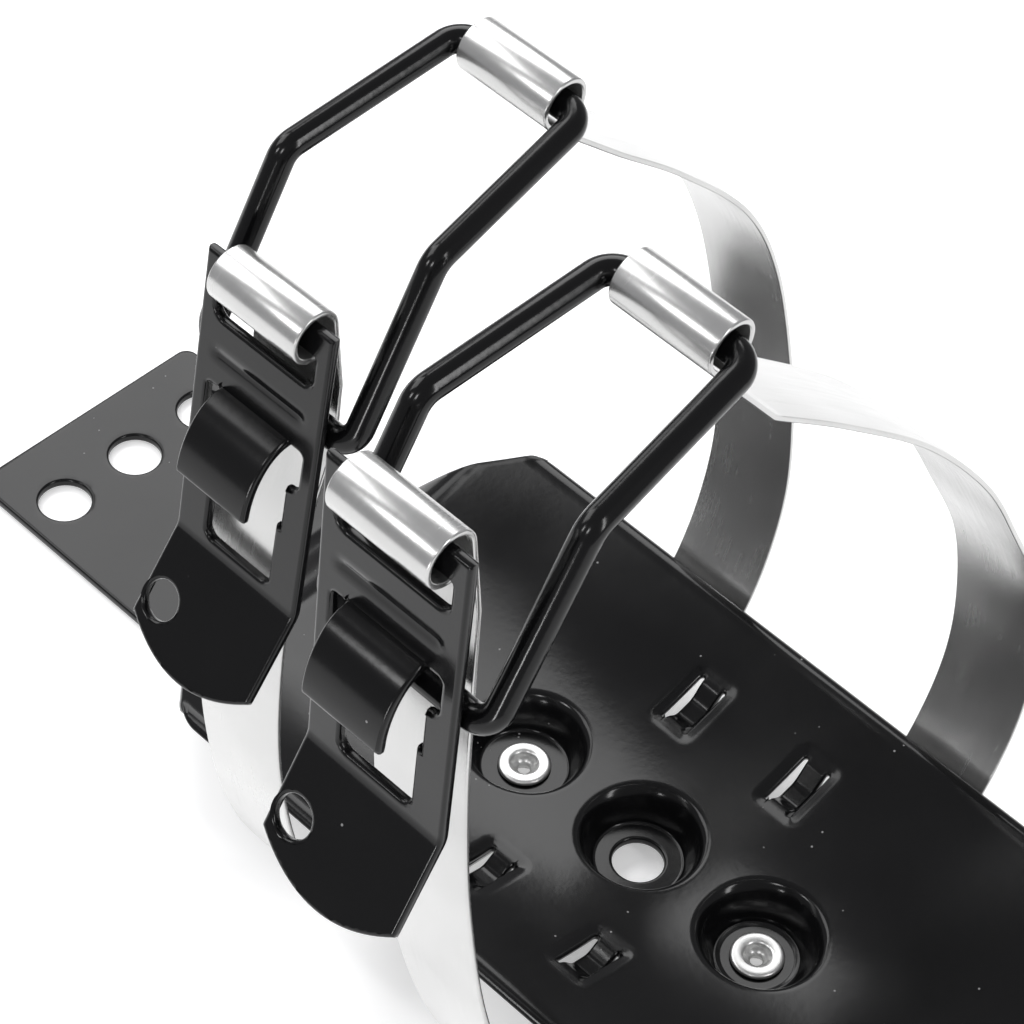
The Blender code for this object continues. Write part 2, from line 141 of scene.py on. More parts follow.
BAIL_TOP_HALF = 13.6
ARM_CLEARANCE = 0.3
BAR_CLEARANCE = 1.7 * GAP
KNEE_REACH = 36.0
KNEE_HEIGHT = 15.5
BAR_REACH = 63.9

# %% The two latches: where each strap runs and where its tubes lie, as (y, z)
NEAR_CURL = math.radians(305)
FAR_CURL = math.radians(258)
STRAP_LIP = [(4.65, 3.3), (4.9, 2.3), (5.7, 1.6), (7.0, 1.4), (9.6, 1.4)]
FAR_SIDE_1 = [(33, 6.0), (49, 13.5), (57, 27), (61.0, 47), (60, 67), (55.5, 91), (46.5, 122),
              (34.5, 145), (15, 166), (-3, 182)]
NEAR_SIDE_1 = [(-33, 6.0), (-50, 13.5), (-62, 27), (-72, 50), (-77.5, 80), (-77.8, 108), (-74.6, 134),
               (-67.4, 157), (-65.8, 171)]
FAR_SIDE_2 = [(33, 6.0), (49, 13.5), (57, 25), (61.2, 41), (60, 60), (54, 83), (42, 106),
              (28, 129.5), (7, 155), (-18, 178), (-38, 194.5)]
NEAR_SIDE_2 = [(-33, 6.0), (-50, 13.5), (-64, 27), (-80, 54), (-91, 88), (-97.5, 125), (-100, 155),
               (-100.6, 180), (-100.8, 200)]
LATCHES = [
    {"x": -RIVET_PITCH / 2, "far": FAR_SIDE_1, "near": NEAR_SIDE_1,
     "tube_a": (-71.6, 185.8), "tube_c": (-17.9, 201.8), "blade": math.radians(7)},
    {"x": RIVET_PITCH / 2, "far": FAR_SIDE_2, "near": NEAR_SIDE_2,
     "tube_a": (-107.3, 216.2), "tube_c": (-51.4, 218.7), "blade": math.radians(2)},
]

# %% [markdown]
# ## Camera
#
# The bracket is seen from above its front right corner through a long lens. The
# view direction comes from a yaw and an elevation, and a roll of five degrees
# turns the picture about it, as a hand-held camera would.

# %% The camera
CAMERA_AT = Vector((0.38862, -0.33967, 0.57937))
YAW = math.radians(40.968)
ELEVATION = math.radians(48.270)
ROLL = math.radians(5.063)
LENS_MM = 125.2

view_line = Vector((-math.sin(YAW) * math.cos(ELEVATION),
                    math.cos(YAW) * math.cos(ELEVATION),
                    -math.sin(ELEVATION)))
level = Vector((math.cos(YAW), math.sin(YAW), 0))
upright = level.cross(view_line)
right = level * math.cos(ROLL) + upright * math.sin(ROLL)
up = upright * math.cos(ROLL) - level * math.sin(ROLL)
camera_data = bpy.data.cameras.new("camera")
camera_data.lens = LENS_MM
camera_data.sensor_width = 36.0
camera = bpy.data.objects.new("camera", camera_data)
camera.matrix_world = Matrix((right, up, -view_line)).transposed().to_4x4()
camera.location = CAMERA_AT
bpy.context.scene.collection.objects.link(camera)
bpy.context.scene.camera = camera

# %% [markdown]
# ## Light and floor
#
# Gloss black shows only what it reflects, so the light is a few soft panels with
# darker air between them. The two wide ones lay a soft grey on the plate and its
# left wing. The narrow ones draw the bright lines on bends, wires and edges. The
# floor is white and glows a little, like a light table. That washes the shadows
# out and gives the bright steel something white to mirror.


# %% Panels of soft light
def light_panel(name, place, target, width, height, watts):
    data = bpy.data.lights.new(name, "AREA")
    data.shape = "RECTANGLE"
    data.size = width
    data.size_y = height
    data.energy = watts
    panel = bpy.data.objects.new(name, data)
    panel.location = place
    panel.rotation_euler = (Vector(target) - Vector(place)).to_track_quat("-Z", "Y").to_euler()
    bpy.context.scene.collection.objects.link(panel)


# Name, place, target, width, height, watts
PANELS = [
    ("panel_left", (-0.80, -0.28, 1.05), (0.1, -0.03, 0.1), 0.72, 0.66, 6.2),
    ("panel_right", (1.25, 0.10, 0.75), (0.15, 0.0, 0.1), 0.16, 1.0, 6.0),
    ("panel_far", (-0.44, 0.52, 0.78), (0.1, 0.0, 0.05), 0.60, 0.62, 5.4),
    ("panel_front", (0.55, -1.20, 1.25), (0.1, -0.05, 0.1), 0.24, 0.30, 3.6),
    ("panel_side", (-0.88, 0.14, 0.62), (0.1, 0.0, 0.05), 0.40, 0.40, 1.3),
    ("panel_edge", (0.45, -1.15, 0.16), (0.12, -0.1, 0.12), 0.10, 0.30, 2.4),
    ("panel_near", (-0.35, -1.10, 1.05), (0.1, -0.05, 0.1), 0.20, 0.26, 2.6),
]
for settings in PANELS:
    light_panel(*settings)

AIR_COLOUR = (0.36, 0.36, 0.37, 1.0)
world = bpy.data.worlds.new("studio_air")
world.use_nodes = True
world.node_tree.nodes["Background"].inputs["Color"].default_value = AIR_COLOUR
world.node_tree.nodes["Background"].inputs["Strength"].default_value = 1.0
bpy.context.scene.world = world
bpy.context.scene.view_settings.view_transform = "Standard"


# %% Helper: a named node of a tree, with its settings and values
def add_node(tree, kind, values=None, **settings):
    node = tree.nodes.new(kind)
    for key, value in settings.items():
        setattr(node, key, value)
    for key, value in (values or {}).items():
        node.inputs[key].default_value = value
    return node


def new_material(name):
    mat = bpy.data.materials.new(name)
    mat.use_nodes = True
    return mat, mat.node_tree, mat.node_tree.nodes["Principled BSDF"]


# %% The floor
FLOOR_R = 1.1
FLOOR_GLOW = 0.34


def build_floor():
    mat, tree, shader = new_material("white_table")
    place = add_node(tree, "ShaderNodeTexCoord")
    cloud = add_node(tree, "ShaderNodeTexNoise", {"Scale": 6.0, "Detail": 2.0})
    tint = add_node(tree, "ShaderNodeValToRGB")
    tint.color_ramp.elements[0].color = (0.86, 0.86, 0.86, 1)
    tint.color_ramp.elements[1].color = (0.90, 0.90, 0.90, 1)
    tree.links.new(place.outputs["Object"], cloud.inputs["Vector"])
    tree.links.new(cloud.outputs["Fac"], tint.inputs["Fac"])
    tree.links.new(tint.outputs["Color"], shader.inputs["Base Color"])
    shader.inputs["Roughness"].default_value = 0.9
    shader.inputs["Emission Color"].default_value = (1, 1, 1, 1)
    shader.inputs["Emission Strength"].default_value = FLOOR_GLOW
    bm = bmesh.new()
    bmesh.ops.create_circle(bm, cap_ends=True, segments=96, radius=FLOOR_R,
                            matrix=Matrix.Translation((0.1, 0.05, -0.0005)))
    mesh = bpy.data.meshes.new("floor")
    bm.to_mesh(mesh)
    bm.free()
    mesh.materials.append(mat)
    floor = bpy.data.objects.new("floor", mesh)
    bpy.context.scene.collection.objects.link(floor)


build_floor()

# %% [markdown]
# ## Gloss black paint
#
# The plate, the levers and the wire are all dipped in the same black. It could be
# one dark colour, but real paint has a faint orange peel, cloudy patches where it
# is less shiny, and a little dust. Fine noise gives the peel as a bump, slow
# noise moves the roughness, and a thresholded cell pattern sprinkles the dust.


# %% The paint
def build_paint(name, peel, dust):
    mat, tree, shader = new_material(name)
    link = tree.links.new
    place = add_node(tree, "ShaderNodeTexCoord")
    slow = add_node(tree, "ShaderNodeTexNoise", {"Scale": 45.0, "Detail": 3.0})
    gloss = add_node(tree, "ShaderNodeMapRange", {"From Min": 0.3, "From Max": 0.7,
                                                  "To Min": 0.13, "To Max": 0.21})
    grain = add_node(tree, "ShaderNodeTexNoise", {"Scale": 650.0, "Detail": 2.0})
    bump = add_node(tree, "ShaderNodeBump", {"Strength": peel, "Distance": 0.0003})
    cells = add_node(tree, "ShaderNodeTexVoronoi", {"Scale": 330.0})
    near = add_node(tree, "ShaderNodeMath", {1: 0.075}, operation="LESS_THAN")
    patch = add_node(tree, "ShaderNodeTexNoise", {"Scale": 90.0, "Detail": 1.0})
    sparse = add_node(tree, "ShaderNodeMath", {1: dust}, operation="GREATER_THAN")
    speck = add_node(tree, "ShaderNodeMath", operation="MULTIPLY")
    colour = add_node(tree, "ShaderNodeMix", data_type="RGBA")
    colour.inputs["A"].default_value = (0.0035, 0.0035, 0.0038, 1)
    colour.inputs["B"].default_value = (0.20, 0.20, 0.20, 1)
    matt = add_node(tree, "ShaderNodeMix", {"B": 0.6}, data_type="FLOAT")
    shader.inputs["Specular IOR Level"].default_value = 0.26
    for texture in (slow, grain, cells, patch):
        link(place.outputs["Object"], texture.inputs["Vector"])
    link(slow.outputs["Fac"], gloss.inputs["Value"])
    link(grain.outputs["Fac"], bump.inputs["Height"])
    link(cells.outputs["Distance"], near.inputs[0])
    link(patch.outputs["Fac"], sparse.inputs[0])
    link(near.outputs[0], speck.inputs[0])
    link(sparse.outputs[0], speck.inputs[1])
    link(speck.outputs[0], colour.inputs["Factor"])
    link(speck.outputs[0], matt.inputs["Factor"])
    link(gloss.outputs["Result"], matt.inputs["A"])
    link(colour.outputs["Result"], shader.inputs["Base Color"])
    link(matt.outputs["Result"], shader.inputs["Roughness"])
    link(bump.outputs["Normal"], shader.inputs["Normal"])
    return mat


BLACK_PAINT = build_paint("black_paint_sheet", 0.035, 0.60)
WIRE_PAINT = build_paint("black_paint_wire", 0.05, 0.64)

# %% [markdown]
# ## Bright steel
#
# The straps are rolled spring steel with a thin bright plating that has been
# handled: fine scratches run along the strip and a slow haze dulls it here and
# there. The plating scatters a little light, so the steel isn't a full metal. The
# scratches have to follow the strip round its loop, so they don't read the place
# in space. They read a pair of numbers that the strap's own nodes store on it:
# how far across and how far along the strip a point lies. The rivets have no such
# pair, and their steel reads the place on the object.


# %% The steel of the straps and the rivets
def build_steel(name, attribute, haze, stretch):
    mat, tree, shader = new_material(name)
    link = tree.links.new
    shader.inputs["Metallic"].default_value = 0.86
    if attribute:
        place = add_node(tree, "ShaderNodeAttribute", attribute_name=attribute)
        source = place.outputs["Vector"]
    else:
        place = add_node(tree, "ShaderNodeTexCoord")
        source = place.outputs["Object"]
    squeeze = add_node(tree, "ShaderNodeMapping", {"Scale": (1.0, stretch, 1.0)})
    lines = add_node(tree, "ShaderNodeTexNoise", {"Scale": 1400.0, "Detail": 4.0, "Roughness": 0.65})
    slow = add_node(tree, "ShaderNodeTexNoise", {"Scale": 38.0, "Detail": 3.0})
    streak = add_node(tree, "ShaderNodeMapRange", {"From Min": 0.35, "From Max": 0.75,
                                                   "To Min": 0.0, "To Max": 0.05})
    cloudy = add_node(tree, "ShaderNodeMapRange", {"From Min": 0.35, "From Max": 0.7,
                                                   "To Min": haze, "To Max": haze + 0.06})
    total = add_node(tree, "ShaderNodeMath", operation="ADD")
    bump = add_node(tree, "ShaderNodeBump", {"Strength": 0.025, "Distance": 0.0001})
    wave = add_node(tree, "ShaderNodeTexNoise", {"Scale": 24.0, "Detail": 1.0})
    buckle = add_node(tree, "ShaderNodeBump", {"Strength": 0.22, "Distance": 0.0015})
    tint = add_node(tree, "ShaderNodeValToRGB")
    tint.color_ramp.elements[0].position = 0.3
    tint.color_ramp.elements[0].color = (0.50, 0.50, 0.495, 1)
    tint.color_ramp.elements[1].position = 0.7
    tint.color_ramp.elements[1].color = (0.59, 0.59, 0.585, 1)
    link(source, squeeze.inputs["Vector"])
    link(squeeze.outputs["Vector"], lines.inputs["Vector"])
    link(source, slow.inputs["Vector"])
    link(source, wave.inputs["Vector"])
    link(lines.outputs["Fac"], streak.inputs["Value"])
    link(slow.outputs["Fac"], cloudy.inputs["Value"])
    link(streak.outputs["Result"], total.inputs[0])
    link(cloudy.outputs["Result"], total.inputs[1])
    link(total.outputs[0], shader.inputs["Roughness"])
    link(slow.outputs["Fac"], tint.inputs["Fac"])
    link(tint.outputs["Color"], shader.inputs["Base Color"])
    link(wave.outputs["Fac"], buckle.inputs["Height"])
    link(lines.outputs["Fac"], bump.inputs["Height"])
    link(buckle.outputs["Normal"], bump.inputs["Normal"])
    link(bump.outputs["Normal"], shader.inputs["Normal"])
    return mat


STRAP_STEEL = build_steel("bright_steel_strip", "along_strip", 0.20, 0.03)
RIVET_STEEL = build_steel("rivet_steel_turned", "", 0.30, 1.0)

# %% [markdown]
# ## Node trees
#
# The straps, the rivets and the wires follow a path or repeat, so Geometry Nodes
# make them. Each tree has named inputs, and the script fills them by the
# identifier of the socket. The result is turned into a plain mesh at once.


# %% Helpers for the trees
def new_tree(name, inputs):
    tree = bpy.data.node_groups.new(name, "GeometryNodeTree")
    tree.interface.new_socket("Geometry", in_out="INPUT", socket_type="NodeSocketGeometry")
    for label, kind in inputs:
        tree.interface.new_socket(label, in_out="INPUT", socket_type="NodeSocket" + kind)
    tree.interface.new_socket("Geometry", in_out="OUTPUT", socket_type="NodeSocketGeometry")
    start = tree.nodes.new("NodeGroupInput")
    end = tree.nodes.new("NodeGroupOutput")
    return tree, start, end


def chain(tree, *nodes):
    """Join the first geometry output of each node to the next one's input."""
    for before, after in zip(nodes, nodes[1:]):
        out = next(socket for socket in before.outputs if socket.type == "GEOMETRY")
        into = next(socket for socket in after.inputs
                    if socket.type == "GEOMETRY" and not socket.is_linked)
        tree.links.new(out, into)


def grow(name, guide, tree, values):
    """Run the tree on the guide mesh and keep the result as a plain mesh object."""
    source = bpy.data.objects.new(name + "_guide", guide)
    bpy.context.scene.collection.objects.link(source)
    modifier = source.modifiers.new("Nodes", "NODES")
    modifier.node_group = tree
    for item in tree.interface.items_tree:
        if item.in_out == "INPUT" and item.name in values:
            modifier[item.identifier] = values[item.name]
    evaluated = source.evaluated_get(bpy.context.evaluated_depsgraph_get())
    mesh = bpy.data.meshes.new_from_object(evaluated)
    mesh.name = name
    bpy.data.objects.remove(source, do_unlink=True)
    piece = bpy.data.objects.new(name, mesh)
    bpy.context.scene.collection.objects.link(piece)
    return piece


def path_mesh(name, points, closed=False):
    mesh = bpy.data.meshes.new(name)
    edges = [(i, i + 1) for i in range(len(points) - 1)]
    if closed:
        edges.append((len(points) - 1, 0))
    mesh.from_pydata([(PLATE_MIDDLE + Vector(point)) * MM for point in points], edges, [])
    return mesh


def finish_piece(piece, body, node, angle=38):
    piece.data.shade_smooth()
    piece.data.set_sharp_from_angle(angle=math.radians(angle))
    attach(piece, body)
    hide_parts(node)
    print(piece.name, len(piece.data.polygons), "faces")


# %% [markdown]
# ## Straps
#
# A strap is one long strip, rolled into a tube at each end. In section it is
# always the same thin rectangle with worn edges. So the path is worked out in
# code as a line, and the tree sweeps the section along it, drills the rivet's
# hole and stores how far along the strip each point is.


# %% The strap's tree
def strap_tree():
    tree, start, end = new_tree("strip_along_path", [
        ("Width", "Float"), ("Thickness", "Float"), ("Edge", "Float"), ("Hole", "Float"),
        ("Hole At", "Vector"), ("Material", "Material")])
    link = tree.links.new
    curve = add_node(tree, "GeometryNodeMeshToCurve")
    normal = add_node(tree, "GeometryNodeSetCurveNormal", mode="FREE")
    normal.inputs["Normal"].default_value = (1, 0, 0)
    travelled = add_node(tree, "GeometryNodeSplineParameter")
    keep = add_node(tree, "GeometryNodeCaptureAttribute")
    keep.capture_items.new("FLOAT", "Travelled")
    section = add_node(tree, "GeometryNodeCurvePrimitiveQuadrilateral")
    soften = add_node(tree, "GeometryNodeFilletCurve", {"Count": 4}, mode="POLY")
    sweep = add_node(tree, "GeometryNodeCurveToMesh", {"Fill Caps": True})
    drill = add_node(tree, "GeometryNodeMeshCylinder", {"Vertices": 48, "Depth": 0.006})
    put = add_node(tree, "GeometryNodeTransform")
    cut = add_node(tree, "GeometryNodeMeshBoolean", operation="DIFFERENCE")
    where = add_node(tree, "GeometryNodeInputPosition")
    split = add_node(tree, "ShaderNodeSeparateXYZ")
    pair = add_node(tree, "ShaderNodeCombineXYZ")
    store = add_node(tree, "GeometryNodeStoreNamedAttribute", {"Name": "along_strip"},
                     data_type="FLOAT_VECTOR", domain="POINT")
    real = add_node(tree, "GeometryNodeRealizeInstances")
    finish = add_node(tree, "GeometryNodeSetMaterial")
    chain(tree, start, curve, normal)
    link(normal.outputs[0], keep.inputs["Geometry"])
    link(travelled.outputs["Length"], keep.inputs["Travelled"])
    link(start.outputs["Width"], section.inputs["Width"])
    link(start.outputs["Thickness"], section.inputs["Height"])
    link(section.outputs[0], soften.inputs["Curve"])
    link(start.outputs["Edge"], soften.inputs["Radius"])
    link(keep.outputs["Geometry"], sweep.inputs["Curve"])
    link(soften.outputs[0], sweep.inputs["Profile Curve"])
    link(start.outputs["Hole"], drill.inputs["Radius"])
    link(drill.outputs["Mesh"], put.inputs["Geometry"])
    link(start.outputs["Hole At"], put.inputs["Translation"])
    link(sweep.outputs["Mesh"], cut.inputs["Mesh 1"])
    link(put.outputs["Geometry"], cut.inputs["Mesh 2"])
    link(where.outputs[0], split.inputs[0])
    link(split.outputs["X"], pair.inputs["X"])
    link(keep.outputs["Travelled"], pair.inputs["Y"])
    link(cut.outputs["Mesh"], store.inputs["Geometry"])
    link(pair.outputs[0], store.inputs["Value"])
    chain(tree, store, real, finish, end)
    link(start.outputs["Material"], finish.inputs["Material"])
    return tree


# %% The strap's path
def curve_through(points, per_span):
    """Catmull-Rom curve through the points."""
    padded = [2 * points[0] - points[1]] + points + [2 * points[-1] - points[-2]]
    path = []
    for before, first, last, after in zip(padded, padded[1:], padded[2:], padded[3:]):
        for k in range(per_span):
            t = k / per_span
            path.append(0.5 * (2 * first + (last - before) * t
                               + (2 * before - 5 * first + 4 * last - after) * t * t
                               + (3 * first - before - 3 * last + after) * t ** 3))
    path.append(points[-1])
    return path


def curl(last, centre, turn, sweep, segments=56):
    """The strip's end, rolled round centre from where it meets the circle."""
    arm = centre - last
    lean = math.acos(min(1.0, CURL_R / arm.length))
    start = math.atan2(-arm.y, -arm.x) + turn * lean
    angles = [start + turn * sweep * k / segments for k in range(segments + 1)]
    return [centre + CURL_R * Vector((math.cos(angle), math.sin(angle))) for angle in angles]


def strap_path(latch):
    """(y, z) points from the near tube, under the plate, round to the far tube."""
    seat = [Vector((STRAP_SEAT * step, STRAP_Z)) for step in (-1.0, -0.5, 0.5, 1.0)]
    near = [Vector(point) for point in latch["near"]]
    far = [Vector(point) for point in latch["far"]]
    middle = curve_through(list(reversed(near)) + seat + far, 10)
    tube_a = curl(near[-1], Vector(latch["tube_a"]), 1, NEAR_CURL)
    tube_c = curl(far[-1], Vector(latch["tube_c"]), -1, FAR_CURL)
    foot = tube_c[0]
    back = (far[-1] - foot).normalized()
    rise = (Vector(latch["tube_c"]) - foot).normalized()
    lying = [foot + back * along + rise * height for along, height in STRAP_LIP]
    lip = curve_through([tube_c[-1]] + lying, 4)
    return list(reversed(tube_a)) + middle + tube_c + lip[1:]


# %% Build the straps
STRAP_EDGE = 0.32
STRIP = strap_tree()
for number, latch in enumerate(LATCHES, start=1):
    name = f"strap_{number}_strip"
    guide = path_mesh(name, [(latch["x"], y, z) for y, z in strap_path(latch)])
    strap = grow(name, guide, STRIP, {
        "Width": STRAP_W * MM, "Thickness": STRAP_T * MM, "Edge": STRAP_EDGE * MM,
        "Hole": RIVET_HOLE_R * MM,
        "Hole At": (PLATE_MIDDLE + Vector((latch["x"], 0, STRAP_Z))) * MM,
        "Material": STRAP_STEEL})
    finish_piece(strap, "root", f"strap_{number}")

# %% [markdown]
# ## Rivets
#
# Each strap is held by a tubular rivet: a rounded flange in the dimple, a dished
# bore and a clinched flare under the strip. One rivet is turned from its profile,
# and a tree sets a copy of it in each of the two outer dimples.


# %% The rivet's profile, turned
FLANGE_ROUND = 0.9
THROAT_STEP = 1.2
THROAT_TOP = 1.3
THROAT_BOTTOM = 2.2


def rivet_profile():
    """(radius, height) points, from the bore's mouth out over the flange and back up the bore."""
    top = DIMPLE_Z + GAP
    under = STRAP_Z - STRAP_T / 2 - GAP
    bore = BORE_D / 2
    shank = SHANK_D / 2
    flange = FLANGE_D / 2
    clinch = CLINCH_D / 2
    crown = [(bore - 0.3, top - 0.5), (bore, top + 0.15), (bore + 0.25, top + 0.6), (bore + 0.5, top + 0.85),
             (bore + 0.9, top + 0.96)]
    for k in range(7):
        angle = math.pi / 2 * k / 6
        crown.append((flange - FLANGE_ROUND + FLANGE_ROUND * math.sin(angle),
                      top + 0.2 + 0.75 * math.cos(angle)))
    outer = crown + [(flange - 0.08, top), (shank, top), (shank, under), (clinch - 0.15, under),
                     (clinch, under - 0.15), (clinch, under - 0.35), (clinch - 0.3, under - 0.7),
                     (clinch - 0.9, under - CLINCH_T), (bore + 0.7, under - CLINCH_T)]
    return outer + [(bore + 0.2, under - CLINCH_T + 0.25), (bore, under),
                    (bore - THROAT_STEP, top - THROAT_BOTTOM), (bore - THROAT_STEP, top - THROAT_TOP),
                    (bore - 0.8, top - 0.95)]


def turned_mesh(name, profile, segments=64):
    bm = bmesh.new()
    rings = []
    for k in range(segments):
        angle = 2 * math.pi * k / segments
        rings.append([bm.verts.new(Vector((r * math.cos(angle), r * math.sin(angle), z)) * MM)
                      for r, z in profile])
    for here, there in zip(rings, rings[1:] + rings[:1]):
        for i in range(len(profile)):
            j = (i + 1) % len(profile)
            bm.faces.new((here[i], there[i], there[j], here[j]))
    bmesh.ops.recalc_face_normals(bm, faces=bm.faces)
    mesh = bpy.data.meshes.new(name)
    bm.to_mesh(mesh)
    bm.free()
    return mesh


# %% The tree that sets a rivet in each dimple
def rivet_tree():
    tree, start, end = new_tree("rivet_at_points", [("Rivet", "Object"), ("Material", "Material")])
    pick = add_node(tree, "GeometryNodeObjectInfo")
    place = add_node(tree, "GeometryNodeInstanceOnPoints")
    real = add_node(tree, "GeometryNodeRealizeInstances")
    finish = add_node(tree, "GeometryNodeSetMaterial")
    tree.links.new(start.outputs["Geometry"], place.inputs["Points"])
    tree.links.new(start.outputs["Rivet"], pick.inputs["Object"])
    tree.links.new(pick.outputs["Geometry"], place.inputs["Instance"])
    chain(tree, place, real, finish, end)
    tree.links.new(start.outputs["Material"], finish.inputs["Material"])
    return tree


one_rivet = bpy.data.objects.new("one_rivet", turned_mesh("one_rivet", rivet_profile()))
bpy.context.scene.collection.objects.link(one_rivet)
SET_RIVETS = rivet_tree()
for number, latch in enumerate(LATCHES, start=1):
    rivet = grow(f"rivet_{number}_turned", path_mesh("rivet_place", [(latch["x"], 0, 0)]), SET_RIVETS,
                 {"Rivet": one_rivet, "Material": RIVET_STEEL})
    finish_piece(rivet, "root", f"rivet_{number}", 50)
bpy.data.objects.remove(one_rivet, do_unlink=True)

# %% [markdown]
# ## Pressed sheet
#
# The plate and the levers start as flat blanks. A press bends them, so the script
# does the same: it fills the blank's outline with a fine net of triangles and
# moves every point with a rule for the pressed height. The net also follows the
# outline, the cut-outs and a few rings, and is closest where the sheet bends most.
# A wall and a small bevel follow as modifiers, because the bright line along each
# rim is only the light caught by that rounded edge.


# %% Helpers for outlines
def smoothstep(value):
    value = min(max(value, 0.0), 1.0)
    return value * value * (3 - 2 * value)


def circle(cx, cy, radius, segments):
    return [(cx + radius * math.cos(2 * math.pi * i / segments),
             cy + radius * math.sin(2 * math.pi * i / segments)) for i in range(segments)]


def rounded(corners, segments=10):
    """A closed outline from (x, y, radius) corners."""
    points = []
    for i, (x, y, radius) in enumerate(corners):
        here = Vector((x, y))
        to_before = (Vector(corners[i - 1][:2]) - here).normalized()
        to_after = (Vector(corners[(i + 1) % len(corners)][:2]) - here).normalized()
        half = to_before.angle(to_after) / 2
        if radius <= 0 or half > math.radians(89):
            points.append((x, y))
            continue
        centre = here + (to_before + to_after).normalized() * (radius / math.sin(half))
        first = here + to_before * (radius / math.tan(half)) - centre
        last = here + to_after * (radius / math.tan(half)) - centre
        turn = first.angle(last)
        for k in range(segments + 1):
            angle = turn * k / segments
            spoke = (first * math.sin(turn - angle) + last * math.sin(angle)) / math.sin(turn)
            points.append(tuple(centre + spoke))
    return points


def spaced(outline, step):
    """The closed outline with extra points, so that no side is longer than step."""
    points = []
    for first, last in zip(outline, outline[1:] + outline[:1]):
        length = math.dist(first, last)
        pieces = max(1, math.ceil(length / step))
        run = last[0] - first[0]
        rise = last[1] - first[1]
        points += [(first[0] + run * k / pieces, first[1] + rise * k / pieces) for k in range(pieces)]
    return points


# %% Press a blank
CLEAR_OF_LINES = 0.62
SLIVER = 0.02
WELD = 0.0005


def steps_between(first, last, step):
    count = max(1, round((last - first) / step))
    return [first + (last - first) * k / count for k in range(count + 1)]


def pressed_sheet(name, outline, cutouts, rings, columns, rows, step, place):
    """Fill the blank with triangles, drop its cut-outs, and press every point.

    The outline is face 0 and the cut-outs are the faces after it, so a triangle
    that lies in face 0 alone is metal.
    """
    loops = [spaced(loop, step) for loop in [outline] + cutouts + rings]
    verts = []
    edges = []
    faces = []
    for i, loop in enumerate(loops):
        start = len(verts)
        verts += [Vector(point) for point in loop]
        edges += [(start + k, start + (k + 1) % len(loop)) for k in range(len(loop))]
        if i <= len(cutouts):
            faces.append(list(range(start, start + len(loop))))
    tree = KDTree(len(verts))
    for i, vert in enumerate(verts):
        tree.insert((*vert, 0), i)
    tree.balance()
    verts += [Vector((x, y)) for x in columns for y in rows
              if tree.find((x, y, 0))[2] > CLEAR_OF_LINES * step]
    points, _, triangles, _, _, origin = delaunay_2d_cdt(verts, edges, faces, 0, WELD)
    bm = bmesh.new()
    made = [bm.verts.new(place(*point)) for point in points]
    for triangle, owners in zip(triangles, origin):
        a, b, c = (points[i] for i in triangle)
        if set(owners) == {0} and abs((b - a).cross(c - a)) > SLIVER * step * step:
            bm.faces.new([made[i] for i in triangle])
    bmesh.ops.delete(bm, geom=[vert for vert in bm.verts if not vert.link_faces], context="VERTS")
    bmesh.ops.recalc_face_normals(bm, faces=bm.faces)
    mesh = bpy.data.meshes.new(name)
    bm.to_mesh(mesh)
    bm.free()
    sheet = bpy.data.objects.new(name, mesh)
    bpy.context.scene.collection.objects.link(sheet)
    return sheet


def face_towards(sheet, direction):
    """Turn the sheet over if its faces point away from direction."""
    total = sum((face.normal * face.area for face in sheet.data.polygons), Vector())
    if total.dot(direction) < 0:
        sheet.data.flip_normals()


def keep_modifier_result(sheet):
    """Make the mesh what its modifiers show, and drop them."""
    evaluated = sheet.evaluated_get(bpy.context.evaluated_depsgraph_get())
    shown = bpy.data.meshes.new_from_object(evaluated)
    sheet.modifiers.clear()
    before = sheet.data
    sheet.data = shown
    bpy.data.meshes.remove(before)


def mark_rims(mesh):
    """Weigh the edges between a rim, which has the second material, and a face."""
    rims = {}
    for face in mesh.polygons:
        for key in face.edge_keys:
            rims.setdefault(key, set()).add(face.material_index)
    weight = mesh.attributes.new("bevel_weight_edge", "FLOAT", "EDGE")
    for edge in mesh.edges:
        if len(rims.get(edge.key, ())) == 2:
            weight.data[edge.index].value = 1.0
    for face in mesh.polygons:
        face.material_index = 0


def give_wall(sheet, thickness, offset, edge, paint):
    sheet.data.materials.append(paint)
    sheet.data.materials.append(paint)
    wall = sheet.modifiers.new("Wall", "SOLIDIFY")
    wall.thickness = thickness * MM
    wall.offset = offset
    wall.use_even_offset = True
    wall.use_quality_normals = True
    wall.material_offset_rim = 1
    keep_modifier_result(sheet)
    mark_rims(sheet.data)
    round_edge = sheet.modifiers.new("Rounded edge", "BEVEL")
    round_edge.width = edge * MM
    round_edge.segments = 3
    round_edge.limit_method = "WEIGHT"
    round_edge.loop_slide = False
    round_edge.use_clamp_overlap = False
    keep_modifier_result(sheet)
    sheet.data.materials.clear()
    sheet.data.materials.append(paint)


# %% [markdown]
# ## Backplate
#
# The plate is a shallow trough with raised wings, joggled down to flat tabs at
# its ends. Three round dimples hold the rivets and a drain hole, and four lanced
# slots have a bridge of metal pushed down in each.

# %% The plate's height
DIMPLES = [(-RIVET_PITCH / 2, RIVET_HOLE_R), (0.0, CENTRE_HOLE_D / 2), (RIVET_PITCH / 2, RIVET_HOLE_R)]
LANCES = [(sx * LANCE_X, sy * LANCE_Y) for sx in (-1, 1) for sy in (-1, 1)]
LIP_SHARE = 0.12
DIMPLE_FOOT_R = 9.1
DIMPLE_SHOULDER_R = 13.4
WALL_POWER = 0.68
BRIDGE_HALF = LANCE_WIDTH / 2 - LANCE_GAP
LANCE_RAMP = 0.75
DRAWN_IN = 0.45
DRAWN_REACH = 2.6
RING_IN_R = 7.6
RING_OUT_R = 9.0
RING_RISE = 0.35
RING_SLOPE = 0.5


